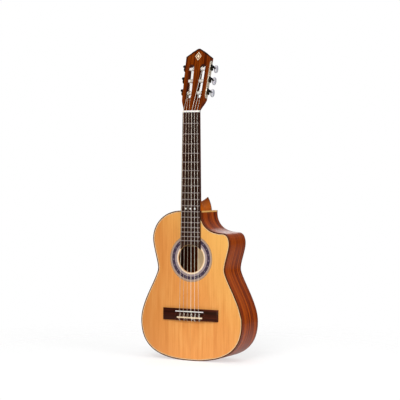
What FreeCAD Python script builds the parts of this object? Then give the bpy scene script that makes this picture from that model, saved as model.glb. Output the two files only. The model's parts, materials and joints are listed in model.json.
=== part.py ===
"""Small classical guitar with a rounded cutaway, built as separate pieces.

Frame: +Z runs up the neck from the lowest point of the body, +X points to the
treble side and +Y from the soundboard to the back. X = 0 is the centre line.
The pieces are modelled with the soundboard's outer face at Y = 0 and are moved
on export, so that Y = 0 ends up half way through the whole guitar's depth.
"""
import FreeCAD, Part
import math
import os

V = FreeCAD.Vector
ORIGIN = V(0, 0, 0)
AXIS_X = V(1, 0, 0)
AXIS_Y = V(0, 1, 0)
AXIS_Z = V(0, 0, 1)

# Scale and neck
scale_length = 545.0
nut_z = 682.0                      # fingerboard end, where the scale starts
saddle_z = nut_z - scale_length
body_length = 412.0
fret_count = 18
nut_half_width = 25.0
joint_half_width = 29.0            # fingerboard at the body joint
board_thickness = 6.0
neck_depth_body = 17.0
neck_depth_nut = 15.0
neck_square = 0.04                 # how square the section's back is
head_square = 0.94
nut_thickness = 5.0
nut_top = 9.2                      # in front of the soundboard's plane
nut_land, nut_back_drop = 1.6, 2.2
heel_cap_thickness = 2.6
heel_tip_half_width, heel_tip_height = 12.0, 36.6
arch_low, arch_high = (0.92, 0.45), (0.30, 0.86)   # handles of an arch, over its width and height
heel_arches = [(8.0, 29.0, 96.0), (20.0, 27.8, 62.0), (32.0, 25.6, 37.0), (46.0, 22.8, 25.5),
               (60.0, 19.9, 24.5), (78.0, 16.4, 29.0)]   # depth, half width, height
board_low_z = 305.0
fret_height, fret_half_width = 1.1, 1.2
tang_depth, tang_half_width = 2.0, 0.3
dot_radius, dot_spacing, dot_depth = 2.5, 13.8, 1.5

# Body
body_depth = 103.0
lower_half_width, lower_z = 156.0, 107.0
waist_half_width, waist_z = 103.0, 252.0
upper_half_width, upper_z = 119.3, 334.0
horn_half_width, horn_z = 117.5, 322.0
horn_top_x, horn_top_z = 95.5, 352.0
cutaway_x = 30.0                   # where the cutaway meets the neck
cutaway_corner_z = 406.0
bottom_handle = 112.0              # handle lengths of the outline's curves
lower_handle_down, lower_handle_up = 70.0, 53.0
waist_handle_down, waist_handle_up = 25.0, 18.0
upper_handle_down, upper_handle_up = 23.0, 37.0
shoulder_handle = 60.0
cutaway_handle_down, cutaway_handle_out = 35.0, 40.0
horn_handle_out, horn_handle_up, horn_handle_down = 13.0, 19.0, 20.0
plate_thickness = 2.4
rib_thickness = 2.2
binding_height = 5.0
purfling_wide = 2.2
purfling_line = 0.6
purfling_depth = 1.2
lining_width = 5.8
lining_height = 12.0
strip_height = 4.5                 # light strip at the cutaway's end
graft_half_width = 6.0
beyond = 500.0                     # past every edge of the guitar, for cutters

# Inside the body
brace_clearance = 0.2
block_low_z = 365.0
tail_half_width, tail_height = 32.0, 24.0
patch_radius, patch_thickness = 56.0, 1.6
bar_width, bar_height, bar_offset = 7.0, 15.0, 62.0
strut_width, strut_height, strut_length = 5.0, 7.0, 165.0
strut_spacing, strut_angle, strut_top_z = 17.0, 7.0, 213.0
bridge_plate_margin, bridge_plate_thickness = 4.0, 2.0
back_brace_z = [92.0, 196.0, 312.0]
back_brace_width, back_brace_height = 8.0, 14.0
centre_strip_half_width = 9.0

# Sound hole and rosette
hole_radius = 39.0
hole_z = 281.0
rosette_inner, rosette_outer = 39.6, 65.0
ring_radii = [43.3, 49.8, 57.4]    # where the rosette's rings meet
rosette_depth = 0.8

# Bridge
bridge_half_length = 84.5
bridge_low, bridge_high = 110.5, 143.0
bridge_height = 8.0
wing_height, wing_rise = 4.6, 0.8
wing_end_height, wing_end_bevel = 3.0, 5.0
trough_low, trough_high, trough_floor = 124.5, 131.0, 5.0
saddle_floor = 3.0
tie_inlay_low, tie_inlay_high, tie_inlay_half_length = 117.0, 121.0, 39.0
tie_inlay_proud, tie_inlay_sunk = 0.4, 0.8
saddle_half_length = 42.5
saddle_thickness = 2.6
saddle_top = 11.0
tie_hole_radius = 0.9
tie_hole_depth = 4.2
knot_z = 113.0                     # where a string leaves the tie block's lower face

# Strings, from the first (treble) to the sixth (bass)
string_diameters = [0.71, 0.82, 1.02, 0.74, 0.86, 1.09]
string_spread_nut = 42.0
string_spread_saddle = 58.0
string_floor_nut = 7.9             # underside of the strings at the nut
string_sink = 0.1                  # of a string into the saddle's groove
first_coil_x, coil_step = -13.5, -4.0   # where strings meet the rollers, inside the side face
groove_clearance = 0.06            # around a string in the nut and the saddle
string_roller_gap = 0.2
trough_entry, nut_entry = 1.0, 1.0 # from a face to a string's bend
nut_exit, nut_dip = 1.2, 0.45      # a string's second bend in the nut
bend_swell = 1.002                 # of the ball that closes a bend

# Head
head_tilt = 15.0
head_face_y = -3.0
head_thickness = 19.0
headplate_thickness = 2.0
head_length = 185.0
side_low_h, side_low_x = 38.0, 34.0
side_high_h, side_high_x = 162.0, 37.5
crown = [(21.5, 173.0), (20.5, 174.6), (4.0, 184.4), (2.5, head_length)]   # half width, height
slot_low, slot_high = 4.0, 101.0   # along the side face from its lower end
slot_inside = 19.2                 # slot's centre line, inside the side face
slot_width = 16.5
slot_ramp, slot_ramp_depth = 17.0, 5.5
inlay_h = 163.0
inlay_depth = 0.8
frame_outer, frame_inner, inlay_core = (9.5, 12.5), (7.2, 9.5), (4.2, 5.6)   # half width, half height
head_cut_front, head_cut_back = -5.0, 30.0
throat_sections, flare_points = 6, 8

# Tuning machines, three in a row on each side of the head
tuner_pitch = 35.0
first_tuner = 20.0                 # along the side face from its lower end
tuner_depth = 10.3                 # roller axis behind the head's face
roller_radius = 5.0
roller_inner_end = -30.0
roller_outer_end = -0.3
roller_hole_x, roller_hole_radius = -24.6, 0.8
axle_inner_end = -22.0
axle_radius = 2.0
hub_radius, axle_screw_radius = 3.0, 2.6
hub_gap = 0.2                      # between the hub and the side plate
axle_screw_proud, axle_slot_rise, axle_slot_half_width = 0.9, 0.4, 0.35
screw_shank_radius, screw_shank_length = 1.2, 8.5
screw_dome_radius, screw_dome_sunk = 3.0, 1.6
screw_slot_rise, screw_slot_half_width = 0.9, 0.3
screw_below, screw_above, screw_top = 12.5, 15.5, 20.0   # from the tuner beside a screw
side_plate_thickness = 1.2
gear_teeth = 14
gear_module = 0.7
gear_pitch_radius = gear_teeth * gear_module / 2
gear_tip_radius = gear_pitch_radius + 0.6
gear_root_radius = gear_pitch_radius - 0.85
gear_width = 3.0
tooth_root_share, tooth_tip_share = 0.33, 0.10   # half a tooth's width over the tooth spacing
worm_pitch_radius = 2.5
worm_tip_radius = worm_pitch_radius + 0.6
worm_root_radius = 1.75
worm_lead = math.pi * gear_module
worm_x = 5.6                       # worm axis outside the side face
thread_root_half, thread_tip_half = 0.56, 0.24
worm_offset = gear_pitch_radius + worm_pitch_radius + 0.05
worm_length = 8.8
worm_turns = 3
worm_shaft_radius = 1.6
worm_shaft_front = 2.4             # shaft in front of the worm's thread
ear_radius, ear_thickness, ear_gap = 3.8, 1.6, 0.15
side_plate_half_width = 7.5
side_plate_margin_low, side_plate_margin_high = 15.5, 23.0
button_depth = 34.0                # button's centre behind the head's face
button_half_length, button_half_width, button_thickness = 11.3, 8.2, 7.0
button_rounding = 2.6
collar_length, collar_radius_front, collar_radius_back = 5.0, 2.2, 3.0
collar_seat = 1.0                  # depth of the collar in the button
running_clearance = 0.08

front_reach = saddle_top + max(string_diameters) - string_sink
face_y = -(body_depth + front_reach) / 2 + front_reach

head_place = FreeCAD.Placement(V(0, head_face_y, nut_z), FreeCAD.Rotation(AXIS_X, -head_tilt))
side_angle = math.degrees(math.atan2(side_high_x - side_low_x, side_high_h - side_low_h))
side_place = FreeCAD.Placement(V(side_low_x, 0, side_low_h), FreeCAD.Rotation(AXIS_Y, side_angle))
TREBLE, BASS = 1, -1


# ---------------------------------------------------------------- helpers

def box(x0, x1, y0, y1, z0, z1):
    return Part.makeBox(x1 - x0, y1 - y0, z1 - z0, V(x0, y0, z0))


def rod(radius, start, end):
    return Part.makeCylinder(radius, (end - start).Length, start, end - start)


def fuse_all(shapes):
    return shapes[0].multiFuse(shapes[1:]).removeSplitter()


def bezier_offset(points, inset, samples=9):
    """A cubic curve in the XZ plane, moved by inset to the right of its direction."""
    curve = Part.BezierCurve()
    curve.setPoles([V(x, 0, z) for x, z in points])
    if inset == 0:
        return curve.toShape()
    moved, tangents = [], []
    for i in range(samples):
        t = i / (samples - 1)
        direction = curve.tangent(t)[0]
        moved.append(curve.value(t) + V(direction.z, 0, -direction.x) * inset)
        tangents.append(direction)
    spline = Part.BSplineCurve()
    spline.interpolate(Points=moved, InitialTangent=tangents[0], FinalTangent=tangents[-1])
    return spline.toShape()


def side_curves(side):
    """Bottom centre to waist on one side, as (start, handle, handle, end)."""
    low, waist = side * lower_half_width, side * waist_half_width
    bottom = [(0, 0), (side * bottom_handle, 0), (low, lower_z - lower_handle_down), (low, lower_z)]
    hip = [(low, lower_z), (low, lower_z + lower_handle_up), (waist, waist_z - waist_handle_down),
           (waist, waist_z)]
    return [bottom, hip]


def outline(inset=0.0):
    """The body's outline, seen from the front, moved inwards by inset."""
    bass_upper = -upper_half_width
    waist, horn = waist_half_width, horn_half_width
    joint = joint_half_width
    bass_chest = [(-waist, waist_z), (-waist, waist_z + waist_handle_up),
                  (bass_upper, upper_z - upper_handle_down), (bass_upper, upper_z)]
    bass_shoulder = [(bass_upper, upper_z), (bass_upper, upper_z + upper_handle_up),
                     (-joint - shoulder_handle, body_length), (-joint, body_length)]
    cutaway = [(cutaway_x, cutaway_corner_z), (cutaway_x, cutaway_corner_z - cutaway_handle_down),
               (horn_top_x - cutaway_handle_out, horn_top_z), (horn_top_x, horn_top_z)]
    horn_round = [(horn_top_x, horn_top_z), (horn_top_x + horn_handle_out, horn_top_z),
                  (horn, horn_z + horn_handle_up), (horn, horn_z)]
    treble_chest = [(horn, horn_z), (horn, horn_z - horn_handle_down),
                    (waist, waist_z + waist_handle_up), (waist, waist_z)]
    treble_low = [list(reversed(points)) for points in reversed(side_curves(TREBLE))]
    bass = side_curves(BASS) + [bass_chest, bass_shoulder]
    treble = [cutaway, horn_round, treble_chest] + treble_low
    top = body_length - inset
    corner = V(cutaway_x - inset, 0, top)
    edges = [bezier_offset(points, inset) for points in bass]
    edges.append(Part.makeLine(V(-joint, 0, top), corner))
    edges.append(Part.makeLine(corner, V(cutaway_x - inset, 0, cutaway_corner_z)))
    edges += [bezier_offset(points, inset) for points in treble]
    return Part.Wire(edges)


def prism(wire, y0, y1):
    face = Part.Face(wire)
    face.translate(V(0, y0, 0))
    return face.extrude(V(0, y1 - y0, 0))


def body_slab(inset, y0, y1):
    return prism(outline(inset), y0, y1)


def body_ring(outer_inset, inner_inset, y0, y1):
    return body_slab(outer_inset, y0, y1).cut(body_slab(inner_inset, y0 - 1, y1 + 1))


def disc(radius, y0, y1):
    return Part.makeCylinder(radius, y1 - y0, V(0, y0, hole_z), AXIS_Y)


def annulus(inner, outer, y0, y1):
    return disc(outer, y0, y1).cut(disc(inner, y0 - 1, y1 + 1))


def polygon(points):
    return Part.makePolygon([V(*p) for p in points] + [V(*points[0])])


def board_half_width(z):
    slope = (joint_half_width - nut_half_width) / (nut_z - body_length)
    return nut_half_width + slope * (nut_z - z)


def fret_z(number):
    return nut_z - scale_length * (1 - 2 ** (-number / 12))


def string_x(number, spread):
    """String 1 is the treble one, at +X."""
    return spread / 2 - (number - 1) * spread / 5


def on_head(shape):
    return shape.transformed(head_place.toMatrix(), True)


def on_side(shape, side):
    """From a tuning machine's frame (+X out of the side face) to the guitar's."""
    moved = shape.transformed(side_place.toMatrix(), True)
    if side == BASS:
        moved = moved.mirror(ORIGIN, AXIS_X)
    return on_head(moved)


def side_of(number):
    return TREBLE if number <= 3 else BASS


def tuner_row(number):
    """0 for the lowest rollers, which hold the outer strings, to 2 for the highest."""
    return number - 1 if number <= 3 else 6 - number


def tuner_z(number):
    """Height of a roller along its side face."""
    return first_tuner + tuner_pitch * tuner_row(number)


def side_point(number, x, y, z):
    point = side_place.multVec(V(x, y, z))
    point.x *= side_of(number)
    return head_place.multVec(point)


# ---------------------------------------------------------------- body

def soundboard():
    plate = body_slab(rib_thickness, 0, plate_thickness)
    channel = body_ring(rib_thickness - 1, purfling_inner(), -1, purfling_depth)
    plate = plate.cut(channel).cut(disc(hole_radius, -1, beyond))
    return plate.cut(annulus(rosette_inner, rosette_outer, -1, rosette_depth))


def purfling_inner():
    return rib_thickness + purfling_wide + purfling_line


def rosette():
    """Inlaid rings: a plain edge ring, a grey ring, the mosaic band, an outer grey ring."""
    radii = [rosette_inner] + ring_radii + [rosette_outer]
    rings = [annulus(inner, outer, 0, rosette_depth) for inner, outer in zip(radii, radii[1:])]
    return Part.makeCompound(rings)


def top_binding():
    return body_ring(0, rib_thickness, 0, binding_height)


def top_purfling():
    middle = rib_thickness + purfling_wide
    light = body_ring(rib_thickness, middle, 0, purfling_depth)
    dark = body_ring(middle, purfling_inner(), 0, purfling_depth)
    return Part.makeCompound([light, dark])


def back_binding():
    return body_ring(0, rib_thickness, body_depth - binding_height, body_depth)


def cutaway_end_strip():
    """Light edge strip where the cutaway's rib ends at the heel."""
    return box(cutaway_x - rib_thickness, cutaway_x, binding_height, body_depth - binding_height,
               body_length - strip_height, body_length)


def end_graft():
    bottom = box(-graft_half_width, graft_half_width, 0, body_depth, -1, lower_z)
    return rib_ring().common(bottom)


def rib_ring():
    return body_ring(0, rib_thickness, binding_height, body_depth - binding_height)


def rib(side):
    """The bass rib also covers the top of the body, as far as the cutaway."""
    bass_part = box(-beyond, 0, 0, body_depth, -1, beyond)
    top_part = box(-1, cutaway_x - rib_thickness, 0, body_depth, body_length - strip_height, beyond)
    bass_part = bass_part.fuse(top_part)
    half = rib_ring().common(bass_part) if side == BASS else rib_ring().cut(bass_part)
    return half.cut(end_graft()).cut(cutaway_end_strip())


def back_plate():
    """Two bookmatched halves, glued at the centre line."""
    plate = body_slab(rib_thickness, body_depth - plate_thickness, body_depth)
    bass_half = plate.common(box(-beyond, 0, 0, beyond, -1, beyond))
    treble_half = plate.common(box(0, beyond, 0, beyond, -1, beyond))
    return Part.makeCompound([bass_half, treble_half])


def inner_slab(y0, y1):
    """The space inside the linings."""
    return body_slab(rib_thickness + lining_width + brace_clearance, y0, y1)


def neck_block():
    return box(-joint_half_width, cutaway_x - rib_thickness, plate_thickness,
               body_depth - plate_thickness, block_low_z, body_length - rib_thickness)


def tail_block():
    space = body_slab(rib_thickness, plate_thickness, body_depth - plate_thickness)
    return space.common(box(-tail_half_width, tail_half_width, 0, body_depth, -1, tail_height))


def lining(y0):
    ring = body_ring(rib_thickness, rib_thickness + lining_width, y0, y0 + lining_height)
    return ring.cut(neck_block()).cut(tail_block())


def soundhole_patch():
    return annulus(hole_radius, patch_radius, plate_thickness, plate_thickness + patch_thickness)


def harmonic_bars():
    """One bar across the soundboard above the sound hole and one below it."""
    slab = inner_slab(plate_thickness, plate_thickness + bar_height)
    half = bar_width / 2
    bars = []
    for z in (hole_z - bar_offset, hole_z + bar_offset):
        bars.append(slab.common(box(-beyond, beyond, 0, beyond, z - half, z + half)))
    return Part.makeCompound(bars)


def fan_braces():
    """Five slim struts, spreading from below the hole to the lower bout."""
    slab = inner_slab(plate_thickness, plate_thickness + strut_height)
    struts = []
    for number in range(-2, 3):
        strut = box(-strut_width / 2, strut_width / 2, 0, beyond, -strut_length, 0)
        strut.rotate(ORIGIN, AXIS_Y, number * strut_angle)
        strut.translate(V(number * strut_spacing, 0, strut_top_z))
        struts.append(slab.common(strut).cut(bridge_plate()))
    return Part.makeCompound(struts)


def bridge_plate():
    half = bridge_half_length + bridge_plate_margin
    return box(-half, half, plate_thickness, plate_thickness + bridge_plate_thickness,
               bridge_low - bridge_plate_margin, bridge_high + bridge_plate_margin)


def back_braces():
    inner = body_depth - plate_thickness
    slab = inner_slab(inner - back_brace_height, inner)
    half = back_brace_width / 2
    bars = [slab.common(box(-beyond, beyond, 0, beyond, z - half, z + half)) for z in back_brace_z]
    return Part.makeCompound(bars)


def back_centre_strip():
    inner, half = body_depth - plate_thickness, centre_strip_half_width
    strip = box(-half, half, inner - patch_thickness, inner, tail_height, block_low_z)
    return strip.cut(back_braces())


# ---------------------------------------------------------------- bridge

def bridge():
    """Thin wings, a raised middle with the saddle slot, and the tie block below it."""
    half = [(bridge_half_length, 0), (bridge_half_length, wing_end_height),
            (bridge_half_length - wing_end_bevel, wing_height),
            (saddle_half_length + 4, wing_height + wing_rise), (saddle_half_length + 0.5, bridge_height)]
    profile = []
    for side in (-1, 1):
        points = [(side * x, -y, bridge_low) for x, y in half]
        profile += points if side < 0 else reversed(points)
    block = Part.Face(polygon(profile)).extrude(V(0, 0, bridge_high - bridge_low))
    across = saddle_half_length
    trough = box(-across, across, -beyond, -trough_floor, trough_low, trough_high)
    slot = box(-across, across, -beyond, -saddle_floor, *saddle_span())
    block = block.cut(trough).cut(slot).cut(tie_block_inlay())
    for number in range(1, 7):
        for cutter in string_groove(number, 0, 3, tie_hole_radius):
            block = block.cut(cutter)
    return block


def string_groove(number, first, last, radius):
    """Round cutters along part of a string's path, with a ball at every bend."""
    path = string_path(number)[first:last]
    cutters = [rod(radius, a, b) for a, b in zip(path, path[1:])]
    return cutters + [Part.makeSphere(radius, point) for point in path]


def saddle_span():
    return saddle_z - saddle_thickness, saddle_z


def saddle():
    bar = box(-saddle_half_length, saddle_half_length, -saddle_top, -saddle_floor, *saddle_span())
    long_edges = [e for e in bar.Edges if e.Length > saddle_half_length]
    crest = [e for e in long_edges if e.CenterOfMass.y < -saddle_top + 0.01]
    bar = bar.makeFillet(saddle_thickness * 0.4, crest)
    for number in range(1, 7):
        for cutter in string_groove(number, 1, 4, string_diameters[number - 1] / 2 + groove_clearance):
            bar = bar.cut(cutter)
    return bar


def tie_block_inlay():
    return box(-tie_inlay_half_length, tie_inlay_half_length, -bridge_height - tie_inlay_proud,
               -bridge_height + tie_inlay_sunk, tie_inlay_low, tie_inlay_high)


# ---------------------------------------------------------------- strings

def string_path(number):
    """Knot end of the tie block, saddle, nut, roller."""
    radius = string_diameters[number - 1] / 2
    x_low = string_x(number, string_spread_saddle)
    x_nut = string_x(number, string_spread_nut)
    front = tuner_depth - roller_radius - radius - string_roller_gap
    return [V(x_low, -tie_hole_depth, knot_z),
            V(x_low, -tie_hole_depth, trough_low + trough_entry),
            V(x_low, -saddle_top - radius + string_sink, saddle_z - saddle_thickness / 2),
            V(x_nut, -string_floor_nut - radius, nut_z + nut_entry),
            V(x_nut, -string_floor_nut - radius + nut_dip, nut_z + nut_thickness - nut_exit),
            side_point(number, first_coil_x + coil_step * tuner_row(number), front, tuner_z(number))]


def string(number):
    """A round string with a ball at each bend of its path."""
    radius = string_diameters[number - 1] / 2
    path = string_path(number)
    pieces = [rod(radius, a, b) for a, b in zip(path, path[1:])]
    bends = [Part.makeSphere(radius * bend_swell, point) for point in path[1:-1]]
    return fuse_all(pieces + bends)


def string_group(numbers):
    return Part.makeCompound([string(number) for number in numbers])


# ---------------------------------------------------------------- neck

def neck_section(half_width, depth, square):
    """Closed section in the XY plane with a flat front at Y = 0.

    square runs from near 0 (rounded back) to near 1 (rectangle with eased corners).
    """
    flat_side, flat_back = depth * square, half_width * square
    corners = [V(half_width, flat_side, 0), V(half_width, depth, 0), V(flat_back, depth, 0)]
    mirrored = [V(-p.x, p.y, 0) for p in reversed(corners)]
    edges = [Part.makeLine(V(-half_width, 0, 0), V(half_width, 0, 0)),
             Part.makeLine(V(half_width, 0, 0), corners[0]), round_corner(corners),
             Part.makeLine(corners[2], mirrored[0]), round_corner(mirrored),
             Part.makeLine(mirrored[2], V(-half_width, 0, 0))]
    return Part.Wire(edges)


def round_corner(points):
    curve = Part.BezierCurve()
    curve.setPoles(points)
    return curve.toShape()


def neck_shaft():
    low = neck_section(joint_half_width, neck_depth_body, neck_square)
    high = neck_section(nut_half_width, neck_depth_nut, neck_square)
    low.translate(V(0, 0, body_length))
    high.translate(V(0, 0, nut_z + nut_thickness))
    return Part.makeLoft([low, high], True, True)


def head_half_width(h):
    """The head flares from the nut to the plates with an S-shaped edge."""
    t = min(max((h - nut_thickness) / (side_low_h - nut_thickness), 0), 1)
    return nut_half_width + (side_low_x - nut_half_width) * t * t * (3 - 2 * t)


def head_throat():
    """Blend from the rounded neck to the flat-backed head."""
    first = neck_section(nut_half_width, neck_depth_nut, neck_square)
    first.translate(V(0, 0, nut_z + nut_thickness))
    sections = [first]
    for i in range(1, throat_sections + 1):
        t = i / throat_sections
        h = nut_thickness + (side_low_h - nut_thickness) * t
        depth = neck_depth_nut + (head_thickness - headplate_thickness - neck_depth_nut) * t
        section = neck_section(head_half_width(h), depth, neck_square + (head_square - neck_square) * t)
        section.translate(V(0, headplate_thickness, h))
        sections.append(on_head(section))
    return Part.makeLoft(sections, True, True)


def head_wire(low_h):
    """Head's outline from low_h upwards: flare, straight sides, two slopes with a small step."""
    right = [(side_low_x, side_low_h), (side_high_x, side_high_h)] + crown
    if low_h < side_low_h:
        flare = []
        for i in range(flare_points):
            h = low_h + (side_low_h - low_h) * i / flare_points
            flare.append((head_half_width(h), h))
        right = flare + right
    left = [(-x, h) for x, h in reversed(right)]
    return polygon([(x, 0, h) for x, h in right + left])


def head_slot(side):
    """Round-ended slot along the side face, with a ramp at its lower end for the outer strings."""
    radius, middle = slot_width / 2, -slot_inside
    low, high = slot_low + radius, slot_high - radius
    cuts = [box(middle - radius, middle + radius, head_cut_front, head_cut_back, low, high)]
    for z in (low, high):
        cuts.append(rod(radius, V(middle, head_cut_front, z), V(middle, head_cut_back, z)))
    x = middle - radius + 1
    ramp = polygon([(x, -1, slot_low - slot_ramp), (x, -1, low), (x, slot_ramp_depth, low)])
    cuts.append(Part.Face(ramp).extrude(V(slot_width - 2, 0, 0)))
    return on_side(fuse_all(cuts), side)


def head_core():
    core = on_head(prism(head_wire(side_low_h), headplate_thickness, head_thickness))
    for number in range(1, 7):
        core = core.cut(roller_bore(number))
    return core


def roller_bore(number):
    z = tuner_z(number)
    bore = rod(roller_radius + 0.1, V(roller_inner_end - 0.5, tuner_depth, z), V(2, tuner_depth, z))
    return on_side(bore, side_of(number))


def heel():
    """Pointed arches, wide behind the soundboard's plane and narrow at the cap."""
    tip = (body_depth - heel_cap_thickness, heel_tip_half_width, heel_tip_height)
    sections = [heel_arch(*row) for row in heel_arches + [tip]]
    return Part.makeLoft(sections, True, False)


def heel_arch(y, half_width, height):
    """Pointed arch across the heel at depth y, standing on the body's top."""
    base = body_length
    left = Part.BezierCurve()
    low_x, low_z = half_width * arch_low[0], base + height * arch_low[1]
    high_x, high_z = half_width * arch_high[0], base + height * arch_high[1]
    left.setPoles([V(-half_width, y, base), V(-low_x, y, low_z), V(-high_x, y, high_z),
                   V(0, y, base + height)])
    right = Part.BezierCurve()
    right.setPoles([V(0, y, base + height), V(high_x, y, high_z), V(low_x, y, low_z),
                    V(half_width, y, base)])
    floor = Part.makeLine(V(half_width, y, base), V(-half_width, y, base))
    return Part.Wire([left.toShape(), right.toShape(), floor])


def heel_cap():
    cap = Part.Face(heel_arch(body_depth - heel_cap_thickness, heel_tip_half_width, heel_tip_height))
    return cap.extrude(V(0, heel_cap_thickness, 0))


def neck():
    whole = fuse_all([neck_shaft(), heel(), head_throat(), head_core()])
    whole = whole.cut(headplate()).cut(head_slot(TREBLE)).cut(head_slot(BASS))
    for hole in screw_shanks():
        whole = whole.cut(hole)
    return whole


def headplate():
    """Thin facing on the head's front, with the same slots."""
    plate = on_head(prism(head_wire(2.0), 0, headplate_thickness))
    above_nut = box(-beyond, beyond, -beyond, beyond, nut_z + nut_thickness + 0.05, nut_z + beyond)
    plate = plate.cut(head_slot(TREBLE)).cut(head_slot(BASS))
    return plate.common(above_nut).cut(headstock_inlay())


def lozenge(half_width, half_height, y0, y1):
    points = [(half_width, 0, inlay_h), (0, 0, inlay_h + half_height), (-half_width, 0, inlay_h),
              (0, 0, inlay_h - half_height)]
    return prism(polygon(points), y0, y1)


def headstock_inlay():
    """A plain lozenge frame with a smaller lozenge inside it."""
    frame = lozenge(*frame_outer, 0, inlay_depth).cut(lozenge(*frame_inner, -1, inlay_depth + 1))
    core = lozenge(*inlay_core, 0, inlay_depth)
    return on_head(Part.makeCompound([frame, core]))


# ---------------------------------------------------------------- fingerboard

def board_blank():
    wide, narrow = board_half_width(board_low_z), board_half_width(nut_z)
    corners = [(-wide, 0, board_low_z), (wide, 0, board_low_z), (narrow, 0, nut_z), (-narrow, 0, nut_z)]
    return prism(polygon(corners), -board_thickness, 0)


def fingerboard():
    """Tapered board, hollowed at its lower end to follow the sound hole."""
    board = board_blank().cut(disc(hole_radius + 0.2, -beyond, beyond))
    floor = tang_depth - board_thickness
    for number in range(1, fret_count + 1):
        z = fret_z(number)
        board = board.cut(box(-beyond, beyond, -beyond, floor, z - tang_half_width, z + tang_half_width))
    return board.cut(fingerboard_dots())


def frets():
    return Part.makeCompound([fret(number) for number in range(1, fret_count + 1)])


def fret(number):
    """Mushroom-shaped wire: a low crown with a thin tang in the board's slot."""
    z, front = fret_z(number), -board_thickness
    half = board_half_width(z) - 0.4
    low, high = V(-half, front, z - fret_half_width), V(-half, front, z + fret_half_width)
    crown = Part.Arc(high, V(-half, front - fret_height, z), low).toShape()
    tang_low, tang_high = z - tang_half_width, z + tang_half_width
    corners = [low, V(-half, front, tang_low), V(-half, front + tang_depth, tang_low),
               V(-half, front + tang_depth, tang_high), V(-half, front, tang_high), high]
    sides = [Part.makeLine(a, b) for a, b in zip(corners, corners[1:])]
    face = Part.Face(Part.Wire([crown] + sides))
    return face.extrude(V(2 * half, 0, 0))


def fingerboard_dots():
    z = (fret_z(11) + fret_z(12)) / 2
    front = -board_thickness
    dots = []
    for x in (-dot_spacing, 0, dot_spacing):
        dots.append(rod(dot_radius, V(x, front, z), V(x, front + dot_depth, z)))
    return Part.makeCompound(dots)


def nut():
    """Bar across the end of the board, sloping down towards the head."""
    z0, z1 = nut_z, nut_z + nut_thickness
    half = nut_half_width
    side = [(-half, 0, z0), (-half, 0, z1), (-half, -nut_top + nut_back_drop, z1),
            (-half, -nut_top, z0 + nut_land), (-half, -nut_top, z0)]
    bar = Part.Face(polygon(side)).extrude(V(2 * half, 0, 0))
    for number in range(1, 7):
        radius = string_diameters[number - 1] / 2 + groove_clearance
        for cutter in string_groove(number, 2, 6, radius):
            bar = bar.cut(cutter)
        for knee in string_path(number)[3:5]:
            bar = bar.cut(box(knee.x - radius, knee.x + radius, -beyond, knee.y, z0 - 1, z1 + 1))
    return bar


# ---------------------------------------------------------------- tuning machines

def screw_heights():
    last_tuner = first_tuner + 2 * tuner_pitch
    return [first_tuner - screw_below, first_tuner + screw_above,
            first_tuner + tuner_pitch + screw_above, last_tuner + screw_top]


def screw_shanks():
    shanks = []
    for side in (TREBLE, BASS):
        for z in screw_heights():
            start, end = V(-screw_shank_length - 0.5, tuner_depth, z), V(3, tuner_depth, z)
            shanks.append(on_side(rod(screw_shank_radius, start, end), side))
    return shanks


def tuner_plate(side):
    """Flat strip with round ends, and two ears for each worm shaft."""
    half = side_plate_half_width
    low = first_tuner - side_plate_margin_low + half
    high = first_tuner + 2 * tuner_pitch + side_plate_margin_high - half
    pieces = [box(0, side_plate_thickness, tuner_depth - half, tuner_depth + half, low, high)]
    for z in (low, high):
        pieces.append(rod(half, V(0, tuner_depth, z), V(side_plate_thickness, tuner_depth, z)))
    for row in range(3):
        pieces += tuner_ears(first_tuner + row * tuner_pitch + worm_offset)
    plate = fuse_all(pieces)
    for row in range(3):
        z = first_tuner + row * tuner_pitch
        hole = rod(axle_radius + running_clearance, V(-1, tuner_depth, z), V(3, tuner_depth, z))
        shaft = V(worm_x, 0, z + worm_offset)
        plate = plate.cut(hole)
        plate = plate.cut(rod(worm_shaft_radius + running_clearance, shaft, shaft + V(0, 30, 0)))
    for z in screw_heights():
        plate = plate.cut(rod(screw_shank_radius + 0.1, V(-1, tuner_depth, z), V(3, tuner_depth, z)))
    return on_side(plate, side)


def ear_spans():
    gap = worm_length / 2 + ear_gap
    outer = gap + ear_thickness
    return [(tuner_depth - outer, tuner_depth - gap), (tuner_depth + gap, tuner_depth + outer)]


def tuner_ears(z):
    ears = []
    for y0, y1 in ear_spans():
        ears.append(box(0.4, worm_x, y0, y1, z - ear_radius, z + ear_radius))
        ears.append(rod(ear_radius, V(worm_x, y0, z), V(worm_x, y1, z)))
    return ears


def tuner_screws():
    """Eight dome-headed wood screws, four through each plate."""
    face, head_half = side_plate_thickness, 9.0
    screws = []
    for side in (TREBLE, BASS):
        for z in screw_heights():
            start, end = V(-screw_shank_length, tuner_depth, z), V(face + 0.3, tuner_depth, z)
            shank = rod(screw_shank_radius, start, end)
            dome = Part.makeSphere(screw_dome_radius, V(face - screw_dome_sunk, tuner_depth, z))
            dome = dome.common(box(face, head_half, -beyond, beyond, z - head_half, z + head_half))
            slot = box(face + screw_slot_rise, head_half, -beyond, beyond,
                       z - screw_slot_half_width, z + screw_slot_half_width)
            screws.append(on_side(shank.fuse(dome).cut(slot), side))
    return Part.makeCompound(screws)


def roller(number):
    """Sleeve that the string winds on, with a hole for the string's end."""
    z, hole_x = tuner_z(number), roller_hole_x
    sleeve = rod(roller_radius, V(roller_inner_end, tuner_depth, z), V(roller_outer_end, tuner_depth, z))
    sleeve = sleeve.cut(rod(axle_radius, V(axle_inner_end, tuner_depth, z), V(1, tuner_depth, z)))
    sleeve = sleeve.cut(rod(roller_hole_radius, V(hole_x, 0, z), V(hole_x, 2 * tuner_depth, z)))
    return on_side(sleeve, side_of(number))


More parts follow.
